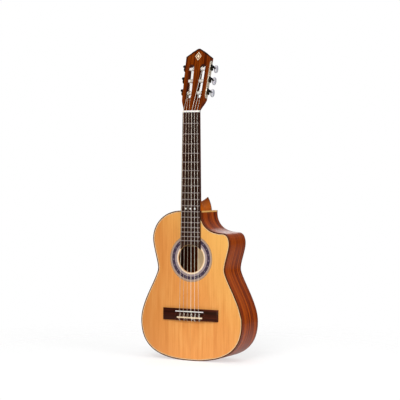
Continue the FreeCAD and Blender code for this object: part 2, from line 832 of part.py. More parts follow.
def gear_wire(x):
    """Toothed wheel's outline, with a gap between two teeth facing the worm."""
    points = []
    step = 2 * math.pi / gear_teeth
    root, tip = tooth_root_share * step, tooth_tip_share * step
    for tooth in range(gear_teeth):
        middle = math.pi / 2 + step * (tooth + 0.5)
        for radius, angle in ((gear_root_radius, -root), (gear_tip_radius, -tip),
                              (gear_tip_radius, tip), (gear_root_radius, root)):
            turn = middle + angle
            points.append((x, radius * math.cos(turn), radius * math.sin(turn)))
    return polygon(points)


def gear(number):
    """Brass wheel on the axle that carries the roller, with its end screw."""
    y, z = tuner_depth, tuner_z(number)
    start = worm_x - gear_width / 2
    end = start + gear_width
    wheel = Part.Face(gear_wire(start)).extrude(V(gear_width, 0, 0))
    wheel.translate(V(0, y, z))
    axle = rod(axle_radius, V(axle_inner_end, y, z), V(start + 0.5, y, z))
    hub = rod(hub_radius, V(side_plate_thickness + hub_gap, y, z), V(start + 0.5, y, z))
    head = rod(axle_screw_radius, V(end - 0.5, y, z), V(end + axle_screw_proud, y, z))
    slot = box(end + axle_slot_rise, beyond, -beyond, beyond,
               z - axle_slot_half_width, z + axle_slot_half_width)
    return on_side(fuse_all([wheel, axle, hub, head]).cut(slot), side_of(number))


def worm_thread():
    """Helical thread along +Z, starting at +X, on the worm's core."""
    helix = Part.makeHelix(worm_lead, worm_lead * worm_turns, worm_pitch_radius)
    inner = worm_root_radius - 0.2
    section = polygon([(inner, 0, -thread_root_half), (worm_tip_radius, 0, -thread_tip_half),
                       (worm_tip_radius, 0, thread_tip_half), (inner, 0, thread_root_half)])
    thread = Part.Wire(helix.Edges).makePipeShell([section], True, True)
    thread.translate(V(0, 0, -worm_lead * worm_turns / 2))
    if worm_turns % 2:
        thread.rotate(ORIGIN, AXIS_Z, 180)
    core = rod(worm_root_radius, V(0, 0, -worm_length / 2), V(0, 0, worm_length / 2))
    return core.fuse(thread)


def worm_collar(number):
    """Cone on the worm's shaft that the button is seated against."""
    z = tuner_z(number) + worm_offset
    start = V(worm_x, button_depth - button_half_width - collar_length + collar_seat, z)
    return Part.makeCone(collar_radius_front, collar_radius_back, collar_length, start, AXIS_Y)


def worm(number):
    """Worm and its shaft, running backwards to the button."""
    front, back = -worm_length / 2 - worm_shaft_front, button_depth - tuner_depth
    body = worm_thread().fuse(rod(worm_shaft_radius, V(0, 0, front), V(0, 0, back)))
    body.rotate(ORIGIN, AXIS_X, -90)
    body.rotate(ORIGIN, AXIS_Y, 90)
    body.translate(V(worm_x, tuner_depth, tuner_z(number) + worm_offset))
    return on_side(body.fuse(worm_collar(number)), side_of(number))


def button(number):
    """Flat oval knob pressed on the worm's shaft."""
    z = tuner_z(number) + worm_offset
    oval = Part.Ellipse(ORIGIN, button_half_length, button_half_width).toShape()
    blank = Part.Face(Part.Wire([oval])).extrude(V(0, 0, button_thickness))
    rims = [e for e in blank.Edges if e.Length > 2 * button_thickness]
    blank = blank.makeFillet(button_rounding, rims)
    blank.translate(V(0, 0, -button_thickness / 2))
    blank.rotate(ORIGIN, AXIS_Y, 90)
    blank.translate(V(worm_x, button_depth, z))
    shaft = rod(worm_shaft_radius, V(worm_x, 0, z), V(worm_x, button_depth, z))
    return on_side(blank.cut(shaft).cut(worm_collar(number)), side_of(number))


# ---------------------------------------------------------------- export

def save(name, shape):
    moved = shape.copy()
    moved.translate(V(0, face_y, 0))
    moved.exportStep("parts/" + name + ".step")


def main():
    os.makedirs("parts", exist_ok=True)
    pieces = {
        "soundboard": soundboard(), "rosette": rosette(), "soundhole_patch": soundhole_patch(),
        "harmonic_bars": harmonic_bars(), "fan_braces": fan_braces(), "bridge_plate": bridge_plate(),
        "bridge": bridge(), "saddle": saddle(), "tie_block_inlay": tie_block_inlay(),
        "rib_bass": rib(BASS), "rib_treble": rib(TREBLE), "end_graft": end_graft(),
        "cutaway_end_strip": cutaway_end_strip(), "back_plate": back_plate(),
        "back_braces": back_braces(), "back_centre_strip": back_centre_strip(),
        "top_binding": top_binding(), "top_purfling": top_purfling(), "back_binding": back_binding(),
        "top_lining": lining(plate_thickness),
        "back_lining": lining(body_depth - plate_thickness - lining_height),
        "neck_block": neck_block(), "tail_block": tail_block(), "neck": neck(), "heel_cap": heel_cap(),
        "headplate": headplate(), "headstock_inlay": headstock_inlay(), "fingerboard": fingerboard(),
        "frets": frets(), "fingerboard_dots": fingerboard_dots(), "nut": nut(),
        "treble_strings": string_group([1, 2, 3]), "bass_strings": string_group([4, 5, 6]),
        "tuner_plate_treble": tuner_plate(TREBLE), "tuner_plate_bass": tuner_plate(BASS),
        "tuner_screws": tuner_screws(),
    }
    for number in range(1, 7):
        pieces["roller_%d" % number] = roller(number)
        pieces["gear_%d" % number] = gear(number)
        pieces["worm_%d" % number] = worm(number)
        pieces["button_%d" % number] = button(number)
    for name, shape in pieces.items():
        save(name, shape)


main()
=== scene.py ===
"""Looks of a small classical guitar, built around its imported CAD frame. Lengths are metres."""
import bmesh
import bpy
import json
import math
from mathutils import Euler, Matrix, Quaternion, Vector
from mathutils.bvhtree import BVHTree


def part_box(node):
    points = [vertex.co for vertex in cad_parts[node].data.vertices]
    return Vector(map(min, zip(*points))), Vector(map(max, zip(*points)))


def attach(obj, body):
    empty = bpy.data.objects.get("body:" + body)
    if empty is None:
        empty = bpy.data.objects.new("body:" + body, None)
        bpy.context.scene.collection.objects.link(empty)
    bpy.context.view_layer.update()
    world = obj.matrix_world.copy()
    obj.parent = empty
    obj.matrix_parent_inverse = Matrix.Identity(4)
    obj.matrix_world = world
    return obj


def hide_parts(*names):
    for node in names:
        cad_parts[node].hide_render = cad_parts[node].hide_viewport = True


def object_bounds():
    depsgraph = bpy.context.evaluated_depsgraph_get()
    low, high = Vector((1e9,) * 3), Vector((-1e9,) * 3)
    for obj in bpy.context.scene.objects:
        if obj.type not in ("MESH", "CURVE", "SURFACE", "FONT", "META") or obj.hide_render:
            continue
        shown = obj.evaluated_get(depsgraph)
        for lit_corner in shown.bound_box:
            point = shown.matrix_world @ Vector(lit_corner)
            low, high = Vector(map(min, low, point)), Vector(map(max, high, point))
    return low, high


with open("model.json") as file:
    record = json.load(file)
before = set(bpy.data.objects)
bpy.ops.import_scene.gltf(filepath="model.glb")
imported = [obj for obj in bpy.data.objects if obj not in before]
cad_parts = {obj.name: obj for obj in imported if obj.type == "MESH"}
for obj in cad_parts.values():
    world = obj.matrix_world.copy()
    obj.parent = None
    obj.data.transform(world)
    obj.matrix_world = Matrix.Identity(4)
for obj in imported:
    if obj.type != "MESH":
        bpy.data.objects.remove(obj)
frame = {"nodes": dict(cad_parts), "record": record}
nodes = frame["nodes"]
cad_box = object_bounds()

record = frame["record"]
MM = 0.001
BODY = "guitar_body"
TREBLES, BASSES = (1, 2, 3), (4, 5, 6)
STRING_NUMBERS = TREBLES + BASSES
BODIES = record["behaviour"]["bodies"]
BODY_OF = {node: body for body, members in BODIES.items() for node in members}
JOINTS = {joint["name"]: joint for joint in record["behaviour"]["joints"]}

# Places read from the frame
FACE_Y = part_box("soundboard")[0].y
rosette_low, rosette_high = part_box("rosette")
HOLE = (rosette_low + rosette_high) / 2
BODY_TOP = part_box("top_binding")[1].z
INNER_BACK_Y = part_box("back_centre_strip")[0].y
BRIDGE_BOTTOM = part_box("bridge")[0].z

# The head leans back from the nut; its frame has its origin on the head's face behind the nut
HEAD_TILT = math.radians(15)
HEAD_UP = Vector((0, math.sin(HEAD_TILT), math.cos(HEAD_TILT)))
HEAD_FRONT = Vector((0, -math.cos(HEAD_TILT), math.sin(HEAD_TILT)))
plate_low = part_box("headplate")[0]
face_start = (plate_low.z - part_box("nut")[0].z) / HEAD_UP.z
HEAD_ORIGIN = Vector((0, plate_low.y, plate_low.z)) - HEAD_UP * face_start
HEAD_LENGTH = 185 * MM

# Strings and tuning machines
STRING_SPREAD = 58 * MM
WINDING = 0.22 * MM                # wire round a bass string
# Millimetres; places along a roller are measured from the head's side face, outwards
STRING_RADII = {1: 0.355, 2: 0.41, 3: 0.51, 4: 0.37, 5: 0.43, 6: 0.545}
ROLLER_RADIUS = 5.0
ROLLER_HOLE_X = -24.6
POST_JOINT_X = -15.0
FIRST_COIL_X, COIL_STEP = -13.5, -4.0
SIDE_PLATE = 1.2


# ------------------------------------------------------------------ node graphs

class Graph:
    """A material's node tree, with short names for the nodes that wood and metal need."""

    def __init__(self, name):
        self.material = bpy.data.materials.new(name)
        self.material.use_nodes = True
        self.tree = self.material.node_tree
        self.shader = self.tree.nodes["Principled BSDF"]
        self.tree.nodes["Material Output"].location = (400, 0)

    def node(self, kind, inputs=None, **settings):
        made = self.tree.nodes.new("ShaderNode" + kind)
        for key, value in settings.items():
            setattr(made, key, value)
        for key, value in (inputs or {}).items():
            self.feed(made.inputs[key], value)
        return made

    def feed(self, socket, value):
        if isinstance(value, bpy.types.NodeSocket):
            self.tree.links.new(value, socket)
        else:
            socket.default_value = value

    def math(self, operation, a, b=0.0, clamp=False):
        made = self.node("Math", {0: a, 1: b}, operation=operation, use_clamp=clamp)
        return made.outputs[0]

    def place(self, mirror_x=False):
        """Position in the guitar's frame; without signs where both halves have to match."""
        place = self.node("TexCoord").outputs["Object"]
        if not mirror_x:
            return place
        return self.node("VectorMath", {0: place}, operation="ABSOLUTE").outputs[0]

    def split(self, vector):
        made = self.node("SeparateXYZ", {0: vector})
        return made.outputs[0], made.outputs[1], made.outputs[2]

    def join(self, x, y, z):
        return self.node("CombineXYZ", {0: x, 1: y, 2: z}).outputs[0]

    def stretch(self, vector, scale, offset=(0, 0, 0)):
        made = self.node("Mapping", {"Vector": vector, "Location": offset, "Scale": scale})
        return made.outputs[0]

    def between(self, value, low, high):
        """One where value lies between low and high, otherwise zero."""
        above = self.math("GREATER_THAN", value, low)
        return self.math("MULTIPLY", above, self.math("LESS_THAN", value, high))

    def along(self, origin, direction, mirror_x=False):
        """Distance from a point, measured along a direction."""
        away = self.node("VectorMath", {0: self.place(mirror_x), 1: origin}, operation="SUBTRACT")
        made = self.node("VectorMath", {0: away.outputs[0], 1: direction}, operation="DOT_PRODUCT")
        return made.outputs["Value"]

    def noise(self, vector, scale, detail=3.0, roughness=0.5, distortion=0.0):
        made = self.node("TexNoise", {"Vector": vector, "Scale": scale, "Detail": detail,
                                      "Roughness": roughness, "Distortion": distortion})
        return made.outputs["Fac"]

    def ramp(self, factor, stops, constant=False):
        made = self.node("ValToRGB", {"Fac": factor})
        elements = made.color_ramp.elements
        while len(elements) < len(stops):
            elements.new(0.5)
        for element, (position, colour) in zip(elements, stops):
            element.position = position
            element.color = tuple(colour) + (1.0,)
        if constant:
            made.color_ramp.interpolation = "CONSTANT"
        return made.outputs["Color"]

    def remap(self, value, low, high, to_low=0.0, to_high=1.0):
        made = self.node("MapRange", {"Value": value, "From Min": low, "From Max": high,
                                      "To Min": to_low, "To Max": to_high})
        return made.outputs[0]

    def mix(self, factor, a, b, blend="MIX"):
        made = self.node("Mix", data_type="RGBA", blend_type=blend)
        self.feed(made.inputs["Factor"], factor)
        for socket, value in zip([s for s in made.inputs if s.type == "RGBA"], (a, b)):
            solid = not isinstance(value, bpy.types.NodeSocket)
            self.feed(socket, tuple(value) + (1.0,) if solid else value)
        return [s for s in made.outputs if s.type == "RGBA"][0]

    def bump(self, height, depth, strength=1.0, normal=None):
        inputs = {"Height": height, "Distance": depth, "Strength": strength}
        if normal is not None:
            inputs["Normal"] = normal
        return self.node("Bump", inputs).outputs[0]

    def finish(self, colour, roughness, normal=None, **others):
        self.feed(self.shader.inputs["Base Color"], colour)
        self.feed(self.shader.inputs["Roughness"], roughness)
        if normal is not None:
            self.feed(self.shader.inputs["Normal"], normal)
        for key, value in others.items():
            self.feed(self.shader.inputs[key.replace("_", " ")], value)
        return self.material


def srgb(red, green, blue):
    """Linear colour from 0-255 display values."""
    values = []
    for channel in (red, green, blue):
        c = channel / 255
        values.append(c / 12.92 if c <= 0.04045 else ((c + 0.055) / 1.055) ** 2.4)
    return tuple(values)


# ------------------------------------------------------------------ woods

def darker(tone, share):
    """The same colour with its light reduced to a share."""
    return [channel * share for channel in tone]


WOOD_SHINE = (1.0, 0.62, 0.36, 1.0)    # colour of bare wood's reflections
PORES_PER_GRAIN = 3.2


def wood(name, tones, grain, streak, pores, gloss, mirror_x=False, change=None, shine=0.2):
    """Wood with broad streaks, fine grain and pores.

    tones run from the darkest streaks to the lightest;
    grain is the number of cells per metre along X, Y and Z; streak and pores are strengths;
    gloss is (roughness of the wood, weight of the lacquer, roughness of the lacquer);
    shine is the strength of the wood's own reflection; change alters the finished colour.
    """
    g = Graph(name)
    place = g.place(mirror_x)
    lines = g.stretch(place, grain)
    broad = g.noise(lines, 0.11, 2.0, 0.5, 0.4)
    middle = g.noise(lines, 0.42, 3.0, 0.6, 0.3)
    fine = g.noise(lines, 1.6, 2.0, 0.7)
    blend = 0.5
    for pattern, share in ((broad, 1.0), (middle, 0.55), (fine, 0.35)):
        swing = g.math("MULTIPLY", g.math("SUBTRACT", pattern, 0.5), streak * share)
        blend = g.math("ADD", blend, swing)
    steps = len(tones) - 1
    colour = g.ramp(blend, [(i / steps, tone) for i, tone in enumerate(tones)])
    dots = g.noise(g.stretch(place, [cells * PORES_PER_GRAIN for cells in grain]), 1.0, 1.0, 0.4)
    pore = g.remap(dots, 0.62, 0.74, 0.0, pores)
    colour = g.mix(pore, colour, darker(tones[0], 0.25))
    if change:
        colour = change(g, colour)
    roughness = g.remap(middle, 0.3, 0.7, gloss[0] * 0.85, gloss[0] * 1.2)
    height = g.math("SUBTRACT", fine, g.math("MULTIPLY", pore, 0.9))
    normal = g.bump(height, 0.06 * MM, 0.35)
    waves = g.noise(g.stretch(place, (14, 14, 5)), 1.0, 1.0)
    return g.finish(colour, roughness, normal, Coat_Weight=gloss[1], Coat_Roughness=gloss[2],
                    Coat_Normal=g.bump(waves, 0.9 * MM, 0.10), Specular_IOR_Level=shine,
                    Specular_Tint=WOOD_SHINE)


CEDAR = [srgb(214, 128, 54), srgb(236, 156, 78), srgb(248, 180, 100)]
MAHOGANY = [srgb(72, 18, 0), srgb(140, 50, 0), srgb(184, 82, 8)]
NECK_WOOD = [srgb(36, 6, 0), srgb(90, 28, 0), srgb(140, 62, 4)]
ROSEWOOD = [srgb(20, 10, 8), srgb(42, 22, 18), srgb(68, 38, 28)]
BRIDGE_WOOD = [srgb(24, 4, 2), srgb(46, 12, 6), srgb(84, 32, 20)]
BINDING = [srgb(48, 16, 2), srgb(80, 32, 4), srgb(112, 52, 10)]
MAPLE = [srgb(240, 208, 164), srgb(252, 228, 192), srgb(255, 240, 212)]
STRIP = [srgb(214, 150, 70), srgb(240, 186, 104), srgb(250, 206, 132)]
SPRUCE = [srgb(186, 146, 98), srgb(212, 176, 126), srgb(226, 194, 148)]
NEAR_BLACK = srgb(24, 7, 3)


def shaded_bare_inside(g, colour):
    """Faces that look into the body are bare wood, darkened as painted shade inside the body."""
    facing = g.node("TexCoord").outputs["Normal"]
    inward = g.math("LESS_THAN", g.split(facing)[1], -0.5)
    # painted shade: inward faces mixed towards a dark brown
    return g.mix(g.math("MULTIPLY", inward, 0.8), colour, srgb(54, 25, 12))


def brown_side(g, colour):
    """The binding is nearly black on the front and back, and closer to the ribs on its side."""
    facing = g.node("TexCoord").outputs["Normal"]
    side = g.remap(g.math("ABSOLUTE", g.split(facing)[1]), 0.3, 0.8, 1.0, 0.0)
    return g.mix(side, colour, srgb(116, 46, 10))


def shaded_crown(g, colour):
    """The head's crown is painted nearly black along its sloping edges, as painted shade on those
    edges.
    """
    slope, darkening_start, darkening_full = 0.64, 3.4 * MM, 1.6 * MM
    height = g.along(HEAD_ORIGIN, HEAD_UP)
    x, _, _ = g.split(g.place(mirror_x=True))
    rise = g.math("ADD", height, g.math("MULTIPLY", x, slope))
    edge = g.remap(rise, HEAD_LENGTH - darkening_start, HEAD_LENGTH - darkening_full, 0.0, 0.92)
    # painted shade: the crown's sloping edges mixed towards near black
    return g.mix(edge, colour, NEAR_BLACK)


def heel_highlight(g, colour):
    """Painted highlight: the heel is lighter and more orange than the rest of the neck."""
    glow_start, glow_full = 36 * MM, 10 * MM
    _, _, z = g.split(g.place())
    low = g.remap(z, BODY_TOP + glow_start, BODY_TOP + glow_full, 0.0, 0.75)
    # painted highlight: the neck mixed towards bright orange near the body
    return shaded_crown(g, g.mix(low, colour, srgb(226, 112, 8)))


def cedar_top():
    """Straight annual rings about a millimetre apart, matched about the centre line."""
    rings_per_metre, ring_drift, seam_width = 820, 0.010, 0.5 * MM
    g = Graph("cedar_top")
    place = g.place(mirror_x=True)
    x, _, z = g.split(place)
    drift = g.noise(g.stretch(place, (9, 0, 2.2)), 1.0, 2.0)
    across = g.math("ADD", x, g.math("MULTIPLY", drift, ring_drift))
    spacing = g.noise(g.join(g.math("MULTIPLY", across, 60), 0.0, 0.0), 1.0, 1.0)
    rings = g.math("MULTIPLY", across, rings_per_metre)
    ring_phase = g.math("ADD", rings, g.math("MULTIPLY", spacing, 9.0))
    late_wood = g.math("POWER", g.math("FRACT", ring_phase), 3.0)
    flow = g.join(across, 0.0, z)
    streak = g.noise(g.stretch(flow, (260, 1, 5)), 1.0, 3.0, 0.65)
    wide = g.noise(g.stretch(flow, (26, 1, 3)), 1.0, 3.0, 0.6)
    band = g.noise(g.stretch(flow, (90, 1, 9)), 1.0, 2.0, 0.6)
    tone = g.math("ADD", g.math("MULTIPLY", streak, 0.4), g.math("MULTIPLY", wide, 0.3))
    tone = g.math("ADD", tone, g.math("MULTIPLY", band, 0.3))
    colour = g.ramp(g.remap(tone, 0.32, 0.68), [(0.0, CEDAR[0]), (0.5, CEDAR[1]), (1.0, CEDAR[2])])
    colour = g.mix(g.math("MULTIPLY", late_wood, 0.26), colour, srgb(176, 98, 40))
    to_treble, _, _ = g.split(g.place())
    # painted light: the upper treble part of the top mixed towards a lighter yellow
    lit_corner = g.math("ADD", z, g.math("MULTIPLY", to_treble, 1.2))
    colour = g.mix(g.remap(lit_corner, 0.22, 0.46, 0.0, 0.5), colour, srgb(255, 206, 108))
    # painted shade: the bass side of the top mixed towards a darker brown
    bass_shade = g.remap(to_treble, cad_box[0].x, -0.03, 0.55, 0.0)
    colour = g.mix(bass_shade, colour, srgb(188, 110, 44))
    fleck = g.noise(g.stretch(place, (2600, 1, 90)), 1.0, 1.0)
    colour = g.mix(g.remap(fleck, 0.62, 0.78, 0.0, 0.35), colour, srgb(168, 92, 38))
    seam = g.remap(x, 0.0, seam_width, 0.45, 0.0)
    colour = g.mix(seam, colour, srgb(150, 84, 36))
    waves = g.noise(g.stretch(place, (10, 10, 5)), 1.0, 1.0)
    normal = g.bump(late_wood, 0.04 * MM, 0.25)
    return g.finish(colour, g.remap(streak, 0.3, 0.7, 0.36, 0.46), normal, Coat_Weight=0.5,
                    Coat_Roughness=0.1, Coat_Normal=g.bump(waves, 1.0 * MM, 0.08),
                    Specular_IOR_Level=0.2)


LIGHT_LINE = (1.0, 2.5)            # millimetres from the binding


def purfling_material():
    """Light line with a dark line on both sides, told apart by the distance from the binding."""
    g = Graph("purfling_lines")
    away = g.node("Attribute", attribute_name="from_binding").outputs["Fac"]
    grain = g.noise(g.stretch(g.place(), (220, 900, 220)), 1.0, 3.0, 0.6)
    light = g.mix(grain, srgb(255, 222, 172), srgb(248, 204, 146))
    dark = g.mix(grain, srgb(66, 24, 3), srgb(96, 42, 8))
    colour = g.mix(g.between(away, *LIGHT_LINE), dark, light)
    return g.finish(colour, 0.35, Coat_Weight=0.3, Coat_Roughness=0.1)


RING_TONES = {
    "cream": srgb(252, 228, 196), "thin": srgb(74, 48, 50), "pale": srgb(212, 190, 178),
    "lilac": srgb(150, 132, 142), "grey": srgb(146, 130, 132), "tan": srgb(212, 170, 124),
    "brown": srgb(132, 94, 70),
}
# Inner radius of each ring in millimetres, and its tone
RINGS = [(39.0, "cream"), (43.6, "thin"), (44.3, "pale"), (45.2, "lilac"), (48.4, "pale"),
         (49.2, "thin"), (58.4, "pale"), (59.2, "grey"), (60.6, "tan"), (61.6, "grey"), (62.4, "tan"),
         (63.4, "brown"), (64.2, "tan"), (64.7, "brown")]
ROSETTE_START, ROSETTE_END = 38.0, 66.0
MOSAIC_INNER, MOSAIC_OUTER = 49.9, 57.4
TILE = 1.15                        # millimetres
MOTIF = 14.0                       # tiles from one diamond to the next
MIDDLE_ROW = 3.0


def rosette_material():
    """Concentric inlaid rings, with a mosaic of small tiles in the dark band."""
    g = Graph("rosette_inlay")
    x, _, z = g.split(g.place())
    dz = g.math("SUBTRACT", z, HOLE.z)
    radius = g.math("SQRT", g.math("ADD", g.math("MULTIPLY", x, x), g.math("MULTIPLY", dz, dz)))
    r = g.math("MULTIPLY", radius, 1 / MM)
    width = ROSETTE_END - ROSETTE_START
    stops = [((start - ROSETTE_START) / width, RING_TONES[tone]) for start, tone in RINGS]
    colour = g.ramp(g.remap(r, ROSETTE_START, ROSETTE_END), stops, constant=True)
    angle = g.math("ARCTAN2", x, dz)
    middle = (MOSAIC_INNER + MOSAIC_OUTER) / 2
    column = g.math("FLOOR", g.math("MULTIPLY", angle, middle / TILE))
    row = g.math("FLOOR", g.math("DIVIDE", g.math("SUBTRACT", r, MOSAIC_INNER), TILE))
    in_motif = g.math("FLOORED_MODULO", column, MOTIF)
    across = g.math("ABSOLUTE", g.math("SUBTRACT", in_motif, MOTIF / 2))
    along = g.math("ABSOLUTE", g.math("SUBTRACT", row, MIDDLE_ROW))
    diamond = g.math("DIVIDE", g.math("ADD", across, along), 12.0)
    purple, black = srgb(50, 26, 66), srgb(18, 8, 24)
    green, light = srgb(70, 72, 74), srgb(150, 130, 146)
    tiles = g.ramp(diamond, [(0.0, light), (0.10, purple), (0.27, green), (0.36, black), (0.52, purple),
                             (0.80, black)], constant=True)
    speck = g.node("TexWhiteNoise", {"Vector": g.join(column, row, 0.0)}, noise_dimensions="3D")
    tiles = g.mix(g.math("MULTIPLY", speck.outputs["Value"], 0.25), tiles, srgb(104, 84, 104))
    inside = g.between(r, MOSAIC_INNER, MOSAIC_OUTER)
    grain = g.noise(g.stretch(g.place(), (900, 900, 300)), 1.0, 2.0)
    colour = g.mix(inside, colour, tiles)
    colour = g.mix(g.remap(grain, 0.45, 0.75, 0.0, 0.25), colour, srgb(90, 66, 58))
    roughness = g.remap(grain, 0.3, 0.7, 0.32, 0.42)
    return g.finish(colour, roughness, Coat_Weight=0.6, Coat_Roughness=0.1)


# ------------------------------------------------------------------ other materials

def bone(name, tone):
    """Polished bone-white plastic with faint clouding."""
    g = Graph(name)
    place = g.place()
    cloud = g.noise(g.stretch(place, (60, 240, 60)), 1.0, 4.0, 0.6)
    base = srgb(*tone)
    colour = g.mix(g.remap(cloud, 0.35, 0.7), base, darker(base, 0.86))
    normal = g.bump(g.noise(place, 900, 2.0), 0.03 * MM, 0.3)
    return g.finish(colour, g.remap(cloud, 0.3, 0.7, 0.28, 0.4), normal, Subsurface_Weight=0.08,
                    Subsurface_Scale=2 * MM, Coat_Weight=0.3, Coat_Roughness=0.1)


def pearl():
    """Grey-white pearl plastic with soft swirls, darkened as painted shade where its surface turns away
    from view.
    """
    g = Graph("pearl_button")
    place = g.place()
    warp = g.noise(place, 90, 2.0)
    bent = g.node("VectorMath", {0: place, 1: g.join(warp, warp, warp), 2: (0.02, 0.02, 0.02)},
                  operation="MULTIPLY_ADD").outputs[0]
    swirl = g.noise(bent, 200, 2.0, 0.5, 0.5)
    facing = g.node("LayerWeight", {"Blend": 0.35}).outputs["Facing"]
    # painted shade: the tone drops towards the button's rims
    tone = g.math("SUBTRACT", g.math("MULTIPLY", swirl, 0.9), g.math("MULTIPLY", facing, 0.30))
    colour = g.ramp(tone, [(0.05, srgb(120, 118, 130)), (0.3, srgb(190, 189, 198)),
                           (0.6, srgb(244, 243, 246))])
    return g.finish(colour, 0.2, Coat_Weight=0.8, Coat_Roughness=0.05, Sheen_Weight=0.1,
                    Subsurface_Weight=0.1, Subsurface_Scale=2 * MM)


def metal(name, tone, roughness, brushed=(300, 300, 3000), tarnish=0.25, solid=1.0, change=None):
    """Metal with fine brushing and patches of dulling; solid below 1 is a softer, paler plating."""
    g = Graph(name)
    place = g.place()
    brush = g.noise(g.stretch(place, brushed), 1.0, 2.0)
    patches = g.noise(place, 70, 4.0, 0.65)
    base = srgb(*tone)
    colour = g.mix(g.remap(patches, 0.45, 0.75, 0.0, tarnish), base, darker(base, 0.45))
    if change:
        colour = change(g, colour)
    rough = g.math("ADD", g.remap(patches, 0.4, 0.8, 0.0, 0.15), roughness)
    return g.finish(colour, rough, g.bump(brush, 0.02 * MM, 0.25), Metallic=solid)


def ears_dark_reflection(g, colour):
    """The ears that stand out of a side plate, and hold the worms, are painted near black as a painted
    dark reflection.
    """
    post = JOINTS["post_turn_1"]
    origin = Vector(post["pos_m"]) - Vector(post["axis"]) * POST_JOINT_X * MM
    out = g.along(origin, Vector(post["axis"]), mirror_x=True)
    darkening_start, darkening_full = SIDE_PLATE + 0.3, SIDE_PLATE + 0.9
    ear = g.remap(out, darkening_start * MM, darkening_full * MM)
    # painted reflection: the ears mixed towards near black
    return g.mix(ear, colour, srgb(16, 13, 12))


def nylon():
    """Pale nylon, seen as a bright line."""
    g = Graph("nylon_string")
    haze = g.noise(g.place(), 400, 2.0)
    colour = g.mix(haze, srgb(255, 250, 238), srgb(244, 232, 210))
    return g.finish(colour, 0.3, Transmission_Weight=0.15, IOR=1.53, Coat_Weight=0.5,
                    Coat_Roughness=0.08)


def wound():
    """Silver-plated wire wound round the bass strings."""
    g = Graph("wound_string")
    _, _, z = g.split(g.place())
    turn = g.math("SINE", g.math("MULTIPLY", z, 2 * math.pi / WINDING))
    worn = g.noise(g.place(), 120, 3.0)
    colour = g.mix(g.remap(worn, 0.4, 0.7), srgb(226, 208, 186), srgb(190, 168, 144))
    return g.finish(colour, 0.3, g.bump(turn, 0.05 * MM, 0.6), Metallic=0.45)


LABEL_HALF_WIDTH, LABEL_HALF_HEIGHT = 31 * MM, 43 * MM
LABEL_RIM = 5 * MM


def paper():
    """Cream label paper, a little yellower towards its edges, with fine fibres, and a faint warm glow
    as painted light.
    """
    g = Graph("label_paper")
    x, _, z = g.split(g.place(mirror_x=True))
    up = g.math("ABSOLUTE", g.math("SUBTRACT", z, HOLE.z))
    rim = g.math("MAXIMUM", g.math("SUBTRACT", x, LABEL_HALF_WIDTH - LABEL_RIM),
                 g.math("SUBTRACT", up, LABEL_HALF_HEIGHT - LABEL_RIM))
    fibre = g.noise(g.stretch(g.place(), (700, 700, 260)), 1.0, 4.0, 0.7)
    colour = g.mix(g.remap(fibre, 0.4, 0.75, 0.0, 0.35), srgb(255, 244, 214), srgb(246, 222, 180))
    colour = g.mix(g.remap(rim, 0.0, LABEL_RIM, 0.0, 0.4), colour, srgb(220, 184, 128))
    # painted light: a faint warm glow brightens the label inside the shaded body
    return g.finish(colour, 0.85, g.bump(fibre, 0.05 * MM, 0.4), Specular_IOR_Level=0.1,
                    Emission_Color=(1.0, 0.70, 0.36, 1.0), Emission_Strength=0.18)


MATERIALS = {
    "cedar": cedar_top(),
    "rosette": rosette_material(),
    "rib": wood("mahogany_body", MAHOGANY, (30, 1300, 30), 2.7, 0.6, (0.34, 0.14, 0.2),
                shine=0.1),
    "back": wood("mahogany_back", MAHOGANY, (620, 40, 14), 2.0, 0.55, (0.30, 0.6, 0.08), mirror_x=True,
                 change=shaded_bare_inside),
    "neck": wood("mahogany_neck", NECK_WOOD, (900, 260, 22), 2.0, 0.5, (0.42, 0.03, 0.15),
                 change=heel_highlight, shine=0.08),
    "block": wood("block_wood", NECK_WOOD, (400, 400, 22), 1.4, 0.5, (0.6, 0.0, 0.3)),
    "head": wood("head_mahogany", NECK_WOOD, (1100, 50, 26), 2.8, 0.5, (0.42, 0.02, 0.12),
                 change=shaded_crown, shine=0.06),
    "rosewood": wood("rosewood", ROSEWOOD, (1100, 600, 26), 1.6, 0.6, (0.42, 0.08, 0.2)),
    "bridge": wood("rosewood_bridge", BRIDGE_WOOD, (26, 800, 1100), 1.8, 0.6, (0.40, 0.05, 0.2)),
    "binding": wood("binding_wood", BINDING, (60, 900, 60), 1.2, 0.3, (0.4, 0.05, 0.2),
                    change=brown_side),
    "maple": wood("maple_trim", MAPLE, (90, 900, 90), 1.0, 0.1, (0.3, 0.5, 0.1)),
    "purfling": purfling_material(),
    "strip": wood("strip_wood", STRIP, (90, 40, 900), 1.0, 0.1, (0.3, 0.4, 0.1)),
    "spruce": wood("spruce_inside", SPRUCE, (500, 500, 20), 1.3, 0.2, (0.6, 0.0, 0.3)),
    "bone": bone("bone_white", (255, 252, 246)),
    "cream": bone("cream_inlay", (246, 222, 184)),
    "pearl": pearl(),
    "fret": metal("fret_metal", (164, 150, 148), 0.34, tarnish=0.15, solid=0.6),
    "plate": metal("plate_metal", (226, 214, 190), 0.30, solid=0.45, change=ears_dark_reflection),
    "screw": metal("screw_metal", (206, 200, 190), 0.2),
    "gear": metal("gear_metal", (60, 50, 34), 0.42),
    "worm": metal("worm_metal", (18, 15, 14), 0.38, solid=0.6),
    "nylon": nylon(),
    "wound": wound(),
    "paper": paper(),
}

